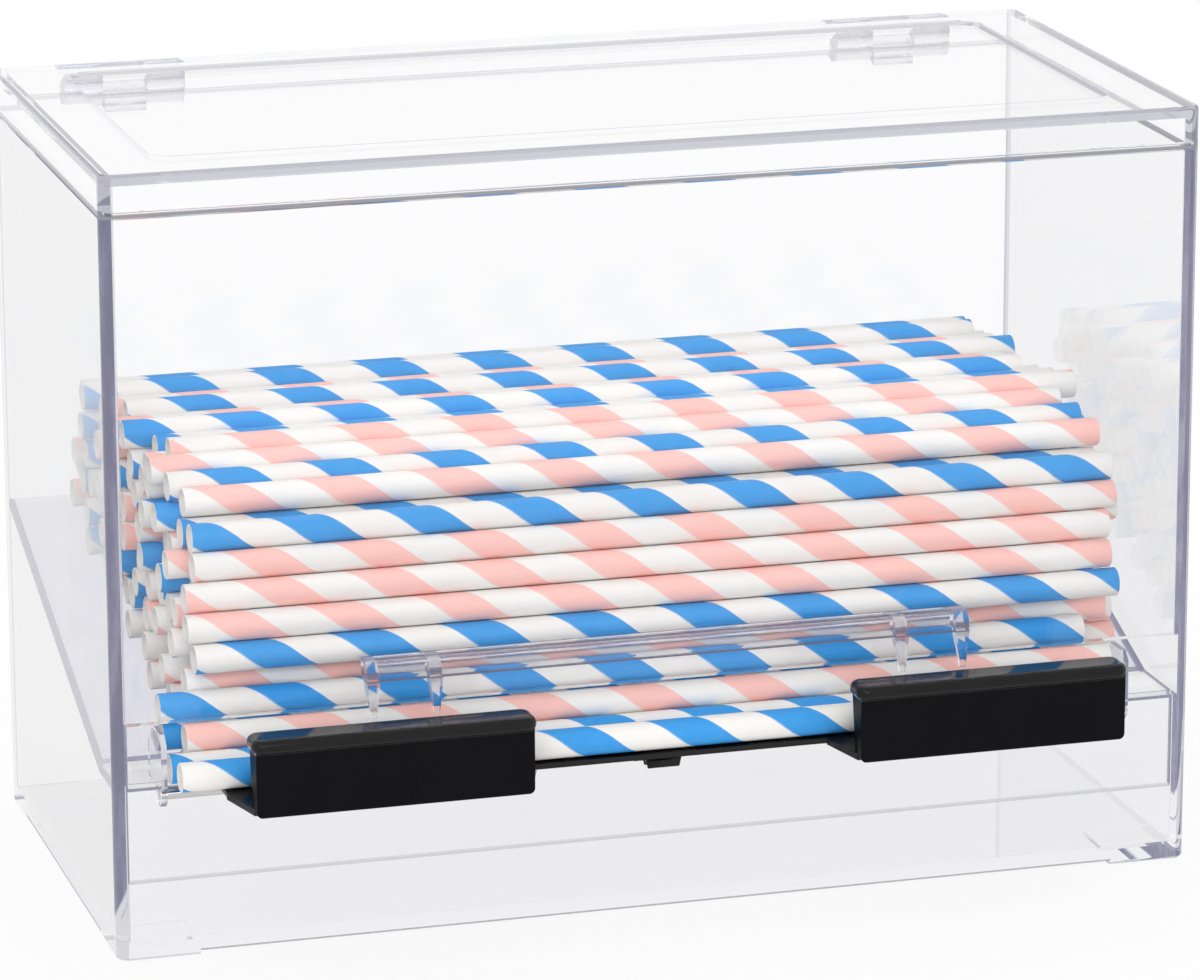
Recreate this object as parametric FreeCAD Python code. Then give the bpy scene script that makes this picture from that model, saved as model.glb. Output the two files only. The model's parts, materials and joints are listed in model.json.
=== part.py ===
"""Straw dispenser with a push-down lever, built piece by piece in millimetres.

A clear moulded case holds a heap of paper straws on a sloping insert.  A black
lever swings on a rod in front of the exit slot, and a clear lid swings on two
hinges behind the back wall.  X is the width, the front faces -Y and Z is up.
The origin is the middle of the footprint, on the surface the case stands on.
"""
import FreeCAD, Part
import math
import os

V = FreeCAD.Vector

# ---- case and lid -------------------------------------------------------
case_width = 230.0
case_depth = 112.0
seam_height = 153.0        # top edge of the case walls
wall = 2.8
corner_radius = 2.8
inner_corner_radius = 0.4
floor_thickness = 2.4
foot_height = 1.0          # relief under the floor between the corner feet
foot_length = 17.0
bottom_edge_radius = 0.8
lip_height = 1.0           # step of the case that stands inside the lid
lip_thickness = 1.2

lid_height = 8.7
lid_plate = 2.7
lid_panel_inset_side = 13.5
lid_panel_inset_front = 14.5
lid_panel_inset_back = 10.0
lid_panel_radius = 5.0
lid_panel_depth = 0.9
lid_panel_slope = 0.6      # slanted foot of the panel's edge

seam_gap = 0.3
fit_gap = 0.3              # between pieces that move past each other
bond_gap = 0.05            # glue line between cemented faces

# ---- exit slot in the front wall ----------------------------------------
slot_bottom = 36.5
slot_height = 13.0

# ---- hinges -------------------------------------------------------------
hinge_inset = 28.7         # middle of a hinge from the side of the case
hinge_standoff = 3.2       # axis behind the back wall
hinge_barrel_radius = 2.6
hinge_lug_length = 9.0
hinge_ear_length = 8.2
hinge_web_height = 3.4      # of a case lug, below the axis
hinge_ear_height = 4.4      # of a lid ear, above the seam
hinge_pin_radius = 0.8
hinge_pin_fit = 0.05
hinge_pin_press = 0.02
hinge_stop_angle = 110.0
hinge_heel_length = 2.4

# ---- sloping insert -----------------------------------------------------
insert_thickness = 1.8
insert_side_gap = 0.15     # glue line along the side walls
insert_wall_gap = 0.3
ledge_depth = 15.0         # flat stretch behind the front wall
ramp_angle = 19.3
skirt_drop = 21.0          # front skirt below the ledge
skirt_thickness = 1.6

# ---- guard bar over the slot --------------------------------------------
guard_inset = 51.1         # end of the bar from the side of the case
guard_rise = 10.5          # top of the bar above the slot
guard_reach = 5.4
guard_height = 4.0
guard_thickness = 1.5
guard_round = 3.2
finger_width = 2.6
finger_step = 13.1         # from an outer finger to the next one
finger_length = 7.6        # below the bar
finger_tip_depth = 1.3
finger_root_inset = 1.2

# ---- lever --------------------------------------------------------------
pivot_forward = 2.7        # rod axis in front of the case
pivot_drop = 0.7           # rod axis below the slot's lower edge
rod_radius = 1.25
rod_fit = 0.05
rod_press = 0.02
rod_run_gap = 0.3
barrel_radius = 2.2
barrel_length = 9.0
centre_clip_length = 7.5
centre_clip_middle = -3.7
tray_thickness = 1.1
tray_front = 12.5
tray_rear = 0.6
tray_inset = 20.3          # end of the tray from the side of the case
pad_front = 24.0           # pad face in front of the case
pad_width = 57.0
pad_inset = 52.2           # middle of a pad from the side of the case
pad_height = 16.0
pad_thickness = 2.0
pad_lip_depth = 8.0
pad_lip_height = 3.0
pad_lip_proud = 0.7        # past the pad's face and its ends
pad_lip_round = 1.4
pad_lip_underside = 1.3    # rounding of the lip's lower edge
pad_lip_corner = 2.4       # its corners, seen from above
pad_corner_radius = 1.2
pad_return_thickness = 1.3  # the pad's sides, which turn back from its face
pad_return_top = 6.0
pad_return_foot = 3.8
arm_thickness = 1.4
arm_flare = 3.5            # each side, from the pad back to the tray
tongue_width = 12.0
tongue_reach = 1.6         # behind the front face of the case
tongue_thickness = 1.0
notch_depth = 1.6
stop_rib_drop = 4.6
stop_rib_width = 2.0
lever_travel_angle = 12.0

# ---- cheeks that carry the rod ------------------------------------------
cheek_thickness = 1.2
cheek_inset_left = 8.6     # outer face of the left cheek from the side of the case
cheek_inset_right = 15.8
cheek_front = 5.2
cheek_top_gap = 1.2        # below the slot's upper edge
cheek_drop = 2.4           # below the rod axis
cheek_root = 4.0           # how far a cheek reaches back over the ledge
cheek_slope = 4.0          # fall of its top edge behind the wall

# ---- return springs -----------------------------------------------------
spring_wire = 0.5
spring_inner_radius = 1.45
spring_turns = 5
spring_leg = 4.6
spring_inset = 18.0        # middle of a spring from the outer side of its pad
spring_tray_gap = 0.1
spring_window_gap = 0.6

# ---- straws -------------------------------------------------------------
straw_diameter = 6.0
straw_bore = 5.2
straw_end_room = 27.4      # length that the case leaves beside a straw
straw_gap = 0.15           # between straws, and from a straw to what it lies on
straw_scatter = 3.2        # how far the straw ends are out of line
heap_middle = 2.0
# How far each front straw, from the sill up, lies to the right of the heap's middle.
front_shifts = (-3.7, -3.9, -7.3, -8.2, -1.6, -0.6, -1.8, -1.5, 0.9, 1.2)
tray_shifts = (-8.1, -7.2)  # the rear and the front straw on the lever
lean_angles = (15, 21, 27, 31)  # from one front straw to the next one up, off the vertical
# The heap's surface: distances behind the front and heights over the ledge.
heap_profile = ((0.0, 23.5), (8.0, 33.5), (12.0, 42.0), (16.0, 50.5), (28.0, 55.0),
                (43.0, 58.5), (60.0, 59.5))
heap_back = 57.5


def shut_offset(y, z):
    """A point's offset from the hinge axis on the shut lid, from that on the open lid."""
    angle = math.radians(hinge_stop_angle)
    return (y * math.cos(angle) - z * math.sin(angle),
            y * math.sin(angle) + z * math.cos(angle))


# ---- places that follow from the sizes above -----------------------------
half_width = case_width / 2
straw_length = case_width - 2 * wall - straw_end_room
slot_top = slot_bottom + slot_height
guard_half = half_width - guard_inset
guard_top = slot_top + guard_rise
finger_tip_height = guard_top - guard_height - finger_length
pivot_height = slot_bottom - pivot_drop
pad_middle = half_width - pad_inset
spring_outset = pad_width / 2 - spring_inset
pad_bottom = pivot_height
pad_top = pad_bottom + pad_height
cheek_left = half_width - cheek_inset_left
cheek_right = half_width - cheek_inset_right
cheek_top = slot_top - cheek_top_gap
cheek_bottom = pivot_height - cheek_drop
lid_top = seam_height + seam_gap + lid_height
heel_face = hinge_standoff - fit_gap
hinge_reach = hinge_standoff + max(hinge_barrel_radius,
                                   shut_offset(-heel_face, -hinge_heel_length)[0])
lever_reach = pad_front + pad_lip_proud
front_y = -(case_depth + hinge_reach - lever_reach) / 2
back_y = front_y + case_depth
floor_top = foot_height + floor_thickness
hinge_y = back_y + hinge_standoff
hinge_z = seam_height + seam_gap / 2
pivot_y = front_y - pivot_forward
ledge_top = slot_bottom
ledge_front = front_y + wall + insert_wall_gap
ledge_back = ledge_front + ledge_depth
ramp_back = back_y - wall - insert_wall_gap
ramp_slope = math.tan(math.radians(ramp_angle))
ramp_top = ledge_top + (ramp_back - ledge_back) * ramp_slope
straw_radius = straw_diameter / 2
straw_pitch = straw_diameter + straw_gap
tray_top = pivot_height + barrel_radius
travel = math.radians(lever_travel_angle)
stop_rib_rear = ((pivot_forward - fit_gap - stop_rib_drop * math.sin(travel))
                 / math.cos(travel))


def save(name, *solids):
    """Write one node: a single solid, or a group of separate solids."""
    shape = solids[0] if len(solids) == 1 else Part.makeCompound(list(solids))
    shape.exportStep("parts/%s.step" % name)


def box(x0, x1, y0, y1, z0, z1):
    return Part.makeBox(x1 - x0, y1 - y0, z1 - z0, V(x0, y0, z0))


def rod_along_x(x0, x1, y, z, radius):
    return Part.makeCylinder(radius, x1 - x0, V(x0, y, z), V(1, 0, 0))


def tube_along_x(x0, x1, y, z, outer, inner):
    return rod_along_x(x0, x1, y, z, outer).cut(rod_along_x(x0, x1, y, z, inner))


def rounded_block(x0, x1, y0, y1, z0, z1, radius):
    """A block whose four upright edges are rounded."""
    block = box(x0, x1, y0, y1, z0, z1)
    upright = [e for e in block.Edges
               if abs(e.Vertexes[0].Point.z - e.Vertexes[-1].Point.z) > (z1 - z0) / 2]
    return block.makeFillet(radius, upright) if radius > 0 else block


def profile_along_x(points, x0, x1):
    """A closed outline of (y, z) points, extruded from x0 to x1."""
    loop = [V(x0, y, z) for y, z in points]
    face = Part.Face(Part.makePolygon(loop + loop[:1]))
    return face.extrude(V(x1 - x0, 0, 0))


def edges_at(shape, test):
    """The edges whose two ends both pass the test."""
    return [e for e in shape.Edges if all(test(v.Point) for v in e.Vertexes)]


def near(value, target):
    return abs(value - target) < 1e-4


# ---- case ---------------------------------------------------------------
def make_case():
    outer = rounded_block(-half_width, half_width, front_y, back_y,
                          0, seam_height, corner_radius)
    outer = outer.makeFillet(bottom_edge_radius,
                             edges_at(outer, lambda p: near(p.z, 0)))
    cavity = rounded_block(-half_width + wall, half_width - wall, front_y + wall,
                           back_y - wall, floor_top, seam_height + 1, inner_corner_radius)
    shell = outer.cut(cavity)
    shell = shell.cut(make_foot_relief())
    shell = shell.cut(box(-half_width + wall, half_width - wall, front_y - 1,
                          front_y + wall + 1, slot_bottom, slot_top))
    for middle in (-pad_middle, pad_middle):
        shell = shell.cut(box(middle - tongue_width / 2 - fit_gap,
                              middle + tongue_width / 2 + fit_gap,
                              front_y - 1, front_y + wall + 1,
                              slot_bottom - notch_depth, slot_bottom + 1))
    lip_outset = wall - lip_thickness
    lip = rounded_block(-half_width + lip_outset, half_width - lip_outset,
                        front_y + lip_outset, back_y - lip_outset,
                        seam_height, seam_height + lip_height,
                        corner_radius - lip_outset)
    lip_hollow = rounded_block(-half_width + wall, half_width - wall,
                               front_y + wall, back_y - wall,
                               seam_height - 1, seam_height + lip_height + 1,
                               inner_corner_radius)
    return shell.fuse(lip.cut(lip_hollow)).removeSplitter()


def make_foot_relief():
    along_width = box(-half_width + foot_length, half_width - foot_length,
                      front_y - 1, back_y + 1, -1, foot_height)
    along_depth = box(-half_width - 1, half_width + 1, front_y + foot_length,
                      back_y - foot_length, -1, foot_height)
    return along_width.fuse(along_depth)


# ---- lid ----------------------------------------------------------------
def make_lid():
    bottom = seam_height + seam_gap
    outer = rounded_block(-half_width, half_width, front_y, back_y,
                          bottom, lid_top, corner_radius)
    outer = outer.makeFillet(bottom_edge_radius,
                             edges_at(outer, lambda p: near(p.z, lid_top)))
    hollow = rounded_block(-half_width + wall, half_width - wall, front_y + wall,
                           back_y - wall, bottom - 1, lid_top - lid_plate,
                           inner_corner_radius)
    rebate_inset = wall - lip_thickness - fit_gap
    rebate = rounded_block(-half_width + rebate_inset, half_width - rebate_inset,
                           front_y + rebate_inset, back_y - rebate_inset,
                           bottom - 1, seam_height + lip_height + fit_gap,
                           corner_radius - rebate_inset)
    panel = rounded_block(-half_width + lid_panel_inset_side,
                          half_width - lid_panel_inset_side,
                          front_y + lid_panel_inset_front,
                          back_y - lid_panel_inset_back,
                          lid_top - lid_panel_depth, lid_top + 1, lid_panel_radius)
    panel = panel.makeChamfer(
        lid_panel_slope, edges_at(panel, lambda p: near(p.z, lid_top - lid_panel_depth)))
    return outer.cut(hollow).cut(rebate).cut(panel)


# ---- hinges -------------------------------------------------------------
def hinge_spans(middle):
    """The lug's span and the two ears' spans along X."""
    lug = (middle - hinge_lug_length / 2, middle + hinge_lug_length / 2)
    left = (lug[0] - fit_gap - hinge_ear_length, lug[0] - fit_gap)
    right = (lug[1] + fit_gap, lug[1] + fit_gap + hinge_ear_length)
    return lug, left, right


def make_hinge_lug(span):
    """The knuckle of the case, with its web below the seam."""
    seat = back_y + bond_gap
    web = profile_along_x(
        [(seat, hinge_z), (hinge_y, hinge_z),
         (hinge_y + hinge_barrel_radius * 0.7, hinge_z - hinge_barrel_radius * 0.75),
         (seat, hinge_z - hinge_web_height)], span[0], span[1])
    barrel = rod_along_x(span[0], span[1], hinge_y, hinge_z, hinge_barrel_radius)
    bore = rod_along_x(span[0], span[1], hinge_y, hinge_z,
                       hinge_pin_radius + hinge_pin_fit)
    return web.fuse(barrel).cut(bore).removeSplitter()


def heel_point(y, z):
    """A corner of the heel, given by its offset from the axis on the open lid."""
    offset = shut_offset(y, z)
    return hinge_y + offset[0], hinge_z + offset[1]


def make_hinge_ear(span):
    """A knuckle of the lid.  Its heel meets the back wall at full opening."""
    seat = back_y + bond_gap
    web = profile_along_x(
        [(seat, hinge_z + fit_gap), (hinge_y, hinge_z),
         (hinge_y + hinge_barrel_radius * 0.7, hinge_z + hinge_barrel_radius * 0.75),
         (seat, hinge_z + fit_gap + hinge_ear_height)], span[0], span[1])
    heel = profile_along_x(
        [(hinge_y, hinge_z), heel_point(-heel_face, 0),
         heel_point(-heel_face, -hinge_heel_length),
         heel_point(0, -hinge_heel_length)], span[0], span[1])
    barrel = rod_along_x(span[0], span[1], hinge_y, hinge_z, hinge_barrel_radius)
    bore = rod_along_x(span[0], span[1], hinge_y, hinge_z,
                       hinge_pin_radius + hinge_pin_press)
    return web.fuse(barrel).fuse(heel).cut(bore).removeSplitter()


def make_hinges():
    for side, middle in (("left", -half_width + hinge_inset),
                         ("right", half_width - hinge_inset)):
        lug, left_ear, right_ear = hinge_spans(middle)
        save("case_hinge_lug_" + side, make_hinge_lug(lug))
        save("lid_hinge_ears_" + side, make_hinge_ear(left_ear), make_hinge_ear(right_ear))
        save("hinge_pin_" + side,
             rod_along_x(left_ear[0], right_ear[1], hinge_y, hinge_z, hinge_pin_radius))


# ---- sloping insert and cheeks ------------------------------------------
def make_insert():
    """Ramp, ledge and front skirt in one bent sheet."""
    inner_half = half_width - wall - insert_side_gap
    drop = insert_thickness / math.cos(math.radians(ramp_angle))
    skirt_bottom = ledge_top - skirt_drop
    outline = [(ledge_front, ledge_top), (ledge_back, ledge_top), (ramp_back, ramp_top),
               (ramp_back, ramp_top - drop),
               (ledge_back + drop * ramp_slope / 2, ledge_top - insert_thickness),
               (ledge_front + skirt_thickness, ledge_top - insert_thickness),
               (ledge_front + skirt_thickness, skirt_bottom), (ledge_front, skirt_bottom)]
    return profile_along_x(outline, -inner_half, inner_half)


def make_cheek(x0, x1):
    """A lug that hooks over the slot's lower edge and carries the rod."""
    sill = slot_bottom + fit_gap
    outline = [(ledge_front + cheek_root, sill), (ledge_front + cheek_root, cheek_top - cheek_slope),
               (ledge_front, cheek_top), (front_y - cheek_front + 2, cheek_top),
               (front_y - cheek_front, cheek_top - 2), (front_y - cheek_front, cheek_bottom + 1.5),
               (front_y - cheek_front + 1.5, cheek_bottom), (front_y - fit_gap, cheek_bottom),
               (front_y - fit_gap, sill)]
    plate = profile_along_x(outline, x0, x1)
    return plate.cut(rod_along_x(x0, x1, pivot_y, pivot_height, rod_radius + rod_press))


# ---- guard bar ----------------------------------------------------------
def make_guard():
    """A rolled bar on the front wall with four tapered fingers below it."""
    half = guard_half
    back = front_y - bond_gap
    face = back - guard_reach
    bar_bottom = guard_top - guard_height
    blank = box(-half, half, face, back, bar_bottom, guard_top)
    blank = blank.makeFillet(guard_round, edges_along_x(blank, face, guard_top))
    ceiling = guard_top - guard_thickness
    hollow = box(-half - 1, half + 1, face + guard_thickness, back + 1, bar_bottom - 1, ceiling)
    hollow = hollow.makeFillet(guard_round - guard_thickness,
                               edges_along_x(hollow, face + guard_thickness, ceiling))
    bar = blank.cut(hollow)
    envelope = blank.fuse(box(-half, half, face, back, finger_tip_height, bar_bottom))
    outer_place = half - finger_width / 2
    inner_place = outer_place - finger_step
    for place in (-outer_place, -inner_place, inner_place, outer_place):
        bar = bar.fuse(make_finger(place, face, back, bar_bottom).common(envelope))
    return bar.removeSplitter()


def edges_along_x(shape, y, z):
    """The edges of a block that run along X at that y and z."""
    return edges_at(shape, lambda p: near(p.y, y) and near(p.z, z))


def make_finger(middle, face, back, bar_bottom):
    """A rib inside the bar that goes on below it as a tapered finger."""
    top_half = finger_width / 2
    tip_half = finger_width * 0.22
    rib = box(middle - top_half, middle + top_half, face, back, bar_bottom, guard_top)
    front_loop = [V(middle - top_half, face, bar_bottom), V(middle + top_half, face, bar_bottom),
                  V(middle + tip_half, face, finger_tip_height),
                  V(middle - tip_half, face, finger_tip_height)]
    blade = Part.Face(Part.makePolygon(front_loop + front_loop[:1])).extrude(V(0, guard_reach, 0))
    side = profile_along_x([(face, bar_bottom), (back - finger_root_inset, bar_bottom),
                            (face + finger_tip_depth, finger_tip_height + finger_tip_depth),
                            (face + finger_tip_depth * 0.8, finger_tip_height),
                            (face, finger_tip_height)],
                           middle - top_half, middle + top_half)
    return rib.fuse(blade.common(side))


# ---- lever --------------------------------------------------------------
def arm_outline(middle):
    """Plan of an arm: pad width at the pad, wider at the tray."""
    pad_half = pad_width / 2
    tray_half = pad_half + arm_flare
    pad_y = front_y - pad_front + pad_thickness
    return [V(middle - tray_half, front_y - tray_front, 0), V(middle - pad_half, pad_y, 0),
            V(middle + pad_half, pad_y, 0), V(middle + tray_half, front_y - tray_front, 0)]


def make_arm(middle):
    """A shelf that slopes a little from the tray down to the foot of the pad."""
    plan = arm_outline(middle)
    prism = Part.Face(Part.makePolygon(plan + plan[:1])).extrude(V(0, 0, pad_top))
    pad_y = front_y - pad_front + pad_thickness
    tray_y = front_y - tray_front
    slab = profile_along_x(
        [(tray_y, tray_top), (pad_y, pad_bottom + arm_thickness), (pad_y, pad_bottom),
         (tray_y, tray_top - arm_thickness)],
        middle - pad_width, middle + pad_width)
    return prism.common(slab)


def arm_top_at(reach):
    """Height of the arm's upper face at that distance behind the pad's face."""
    foot = pad_bottom + arm_thickness
    share = (reach - pad_thickness) / (pad_front - pad_thickness - tray_front)
    return foot + share * (tray_top - foot)


def lever_barrel_places():
    """Spans of the barrels along X: two behind each pad and the centre clip."""
    spans = []
    for middle in (-pad_middle, pad_middle):
        for side in (-1, 1):
            centre = middle + side * (pad_width / 2 - barrel_length)
            spans.append((centre - barrel_length / 2, centre + barrel_length / 2))
    spans.append((centre_clip_middle - centre_clip_length / 2,
                  centre_clip_middle + centre_clip_length / 2))
    return spans


def make_tray():
    tray_half = half_width - tray_inset
    tray = box(-tray_half, tray_half, front_y - tray_front, front_y - tray_rear,
               tray_top - tray_thickness, tray_top)
    for middle in (-pad_middle, pad_middle):
        tray = tray.fuse(make_arm(middle))
        tray = tray.fuse(box(middle - tongue_width / 2, middle + tongue_width / 2,
                             pivot_y, front_y + tongue_reach,
                             slot_bottom - tongue_thickness - fit_gap, slot_bottom - fit_gap))
        tray = tray.fuse(box(middle - tongue_width / 2, middle + tongue_width / 2,
                             pivot_y, front_y - tray_rear,
                             slot_bottom - tongue_thickness - fit_gap, tray_top))
    tray = tray.cut(rod_along_x(-half_width, half_width, pivot_y, pivot_height,
                                rod_radius + rod_run_gap))
    for middle in (-pad_middle - spring_outset, pad_middle + spring_outset):
        tray = tray.cut(make_spring_window(middle))
    for x0, x1 in lever_barrel_places():
        tray = tray.fuse(rod_along_x(x0, x1, pivot_y, pivot_height, barrel_radius))
    for x0, x1 in lever_barrel_places()[:-1]:
        middle = (x0 + x1) / 2
        tray = tray.fuse(box(middle - stop_rib_width / 2, middle + stop_rib_width / 2,
                             pivot_y - barrel_radius, pivot_y + stop_rib_rear,
                             pivot_height - stop_rib_drop, pivot_height))
    for x0, x1 in lever_barrel_places():
        tray = tray.cut(rod_along_x(x0 - 0.01, x1 + 0.01, pivot_y, pivot_height,
                                    rod_radius + rod_fit))
    return tray.removeSplitter()


def make_spring_window(middle):
    """Room in the tray for a spring's coil."""
    half = spring_turns * spring_wire * 0.7 + spring_window_gap
    reach = spring_inner_radius + spring_wire + spring_window_gap
    return box(middle - half, middle + half, pivot_y - reach, front_y + tongue_reach + 1,
               pivot_height - reach, tray_top + 1)


def make_pad(middle):
    """A thumb pad: an upright plate under a rolled lip."""
    half = pad_width / 2
    face = front_y - pad_front
    plate = rounded_block(middle - half, middle + half, face, face + pad_thickness,
                          pad_bottom, pad_top - pad_lip_height / 2, 0)
    foot = edges_at(plate, lambda p: near(p.z, pad_bottom))
    foot = [e for e in foot if near(e.Vertexes[0].Point.x, e.Vertexes[-1].Point.x)]
    plate = plate.makeFillet(pad_corner_radius, foot)
    lip = rounded_block(middle - half - pad_lip_proud, middle + half + pad_lip_proud,
                        face - pad_lip_proud, face - pad_lip_proud + pad_lip_depth,
                        pad_top - pad_lip_height, pad_top, pad_lip_corner)
    rim = edges_at(lip, lambda p: near(p.z, pad_top))
    lip = lip.makeFillet(pad_lip_round, rim)
    underside = edges_at(lip, lambda p: near(p.z, pad_top - pad_lip_height))
    lip = lip.makeFillet(pad_lip_underside, underside)
    pad = plate.fuse(lip)
    under_lip = pad_top - pad_lip_height / 2
    return_foot = arm_top_at(pad_return_foot) + bond_gap
    back = face + pad_thickness / 2
    for x0 in (middle - half, middle + half - pad_return_thickness):
        pad = pad.fuse(profile_along_x(
            [(back, return_foot), (face + pad_return_foot, return_foot),
             (face + pad_return_top, under_lip), (back, under_lip)],
            x0, x0 + pad_return_thickness))
    return pad.removeSplitter()


# ---- springs ------------------------------------------------------------
def wire_between(start, end):
    """A straight piece of spring wire."""
    along = end.sub(start)
    return Part.makeCylinder(spring_wire / 2, along.Length, start, along)


def make_spring(middle):
    """A torsion spring on the rod: one leg on the wall, one under the tray.

    The closed coil is a row of rings that just run into each other.
    """
    mean_radius = spring_inner_radius + spring_wire / 2
    pitch = spring_wire * 0.9
    first = middle - pitch * (spring_turns - 1) / 2
    last = first + pitch * (spring_turns - 1)
    coil = coil_section(first, pitch, mean_radius).revolve(V(0, pivot_y, pivot_height),
                                                           V(1, 0, 0), 360)
    bottom = V(first, pivot_y, pivot_height - mean_radius)
    under_tray = V(bottom.x, front_y - tray_front + spring_wire * 6,
                   tray_top - tray_thickness - spring_wire / 2 - spring_tray_gap)
    rear = V(last, pivot_y + mean_radius, pivot_height)
    on_wall = V(rear.x, front_y - spring_wire / 2 - spring_tray_gap, pivot_height - spring_leg)
    return coil.fuse(wire_between(bottom, under_tray)).fuse(wire_between(rear, on_wall))


def coil_section(first, pitch, mean_radius):
    """The beaded section above the rod: each turn's circle runs into the next one."""
    wire_radius = spring_wire / 2
    half = pitch / 2
    dip = math.sqrt(wire_radius ** 2 - half ** 2)

    def point(x, lift):
        return V(x, pivot_y, pivot_height + mean_radius + lift)

    def turn_arc(turn, side):
        centre = first + turn * pitch
        left = point(centre - half, side * dip)
        right = point(centre + half, side * dip)
        if turn == 0:
            left = point(centre - wire_radius, 0)
        if turn == spring_turns - 1:
            right = point(centre + wire_radius, 0)
        return Part.Arc(left, point(centre, side * wire_radius), right).toShape()

    upper = [turn_arc(turn, 1) for turn in range(spring_turns)]
    lower = [turn_arc(turn, -1) for turn in reversed(range(spring_turns))]
    return Part.Face(Part.Wire(upper + lower))


# ---- straws -------------------------------------------------------------
def make_straw(y, z, shift):
    x0 = heap_middle - straw_length / 2 + shift
    return tube_along_x(x0, x0 + straw_length, y, z, straw_radius, straw_bore / 2)


def uneven(index):
    """A repeatable number from -1 to 1 that changes from straw to straw."""
    return math.sin(index * 2.399 + 0.7)


def on_angle(start, degrees, steps=1.0):
    """The centre of a straw that lies against another one."""
    angle = math.radians(degrees)
    reach = straw_pitch * steps
    return start[0] + reach * math.cos(angle), start[1] + reach * math.sin(angle)


def tray_straws():
    """The two straws that lie on the lever, ready to be taken."""
    height = tray_top + straw_gap + fit_gap / 3 + straw_radius
    rear = (pivot_y - 1.3, height)
    return [rear, (rear[0] - straw_pitch, height)]


def front_straws():
    """The straws against the front wall and in the slot, from the sill up."""
    rear_on_tray = tray_straws()[0]
    sill = (ledge_front + 0.3, ledge_top + straw_gap + straw_radius)
    outer = on_angle(rear_on_tray, 45.4, 1.04)
    inner = on_angle(sill, 56.3, 1.02)
    wall_y = front_y + wall + straw_radius + 0.3
    low = (wall_y, inner[1] + straw_pitch * 1.02)
    second = on_angle(low, 34.5)
    column = [(wall_y, second[1] + straw_pitch * 0.98)]
    for lean in lean_angles:
        column.append(on_angle(column[-1], 90 - lean))
    return [sill, outer, inner, low, second] + column


def heap_top(y):
    """Height of the heap's surface over the depth of the hopper."""
    profile = [(front_y + run, ledge_top + rise) for run, rise in heap_profile]
    profile.append((back_y, ledge_top + heap_back))
    for (y0, z0), (y1, z1) in zip(profile, profile[1:]):
        if y <= y1:
            return z0 + (z1 - z0) * (y - y0) / (y1 - y0)
    return profile[-1][1]


def heap_rows(taken):
    """Rows of straws parallel to the ramp, as far as the heap reaches."""
    angle = math.radians(ramp_angle)
    along = (math.cos(angle), math.sin(angle))
    up = (-math.sin(angle), math.cos(angle))
    start = (ledge_back, ledge_top)
    rows = []
    row = 0
    while True:
        lift = straw_radius + straw_gap + row * straw_pitch * math.sqrt(3) / 2
        places = []
        for step in range(-12, 24):
            run = (step + 0.5 * (row % 2)) * straw_pitch
            y = start[0] + run * along[0] + lift * up[0]
            z = start[1] + run * along[1] + lift * up[1]
            if free_place(y, z, taken):
                places.append((y, z))
        if not places:
            return rows
        rows.append(places)
        row += 1


def free_place(y, z, taken):
    inside = front_y + wall + straw_radius + straw_gap <= y <= back_y - wall - straw_radius - straw_gap
    over_ledge = z >= ledge_top + straw_radius + straw_gap
    below_top = z <= heap_top(y)
    clear = all(math.hypot(y - a, z - b) >= straw_pitch - 0.01 for a, b in taken)
    return inside and over_ledge and below_top and clear


def make_straws():
    tray = tray_straws()
    front = front_straws()
    rows = heap_rows(front)
    for name, (y, z), shift in zip(("tray_straw_rear", "tray_straw_front"), tray, tray_shifts):
        save(name, make_straw(y, z, shift))
    for number, ((y, z), shift) in enumerate(zip(front, front_shifts), 1):
        save("front_straw_%02d" % number, make_straw(y, z, shift))
    count = 0
    for number, places in enumerate(rows, 1):
        straws = []
        for y, z in places:
            count += 1
            straws.append(make_straw(y, z, straw_scatter * uneven(count)))
        save("straw_row_%02d" % number, *straws)
    print("straws in the heap", count, "rows", len(rows), "in front", len(front))


def main():
    os.makedirs("parts", exist_ok=True)
    save("case_shell", make_case())
    save("lid_shell", make_lid())
    make_hinges()
    save("hopper_insert", make_insert())
    save("pivot_cheek_left", make_cheek(-cheek_left, -cheek_left + cheek_thickness))
    save("pivot_cheek_right", make_cheek(cheek_right - cheek_thickness, cheek_right))
    save("guard_bar", make_guard())
    save("pivot_rod", rod_along_x(-cheek_left, cheek_right, pivot_y, pivot_height, rod_radius))
    save("lever_tray", make_tray())
    save("thumb_pad_left", make_pad(-pad_middle))
    save("thumb_pad_right", make_pad(pad_middle))
    save("return_spring_left", make_spring(-pad_middle - spring_outset))
    save("return_spring_right", make_spring(pad_middle + spring_outset))
    make_straws()


main()
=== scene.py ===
"""Straw dispenser with a push-down lever, dressed for rendering.  Lengths are in metres."""
import json
import math

import bmesh
import bpy
import numpy as np
from mathutils import Matrix, Vector


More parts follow.
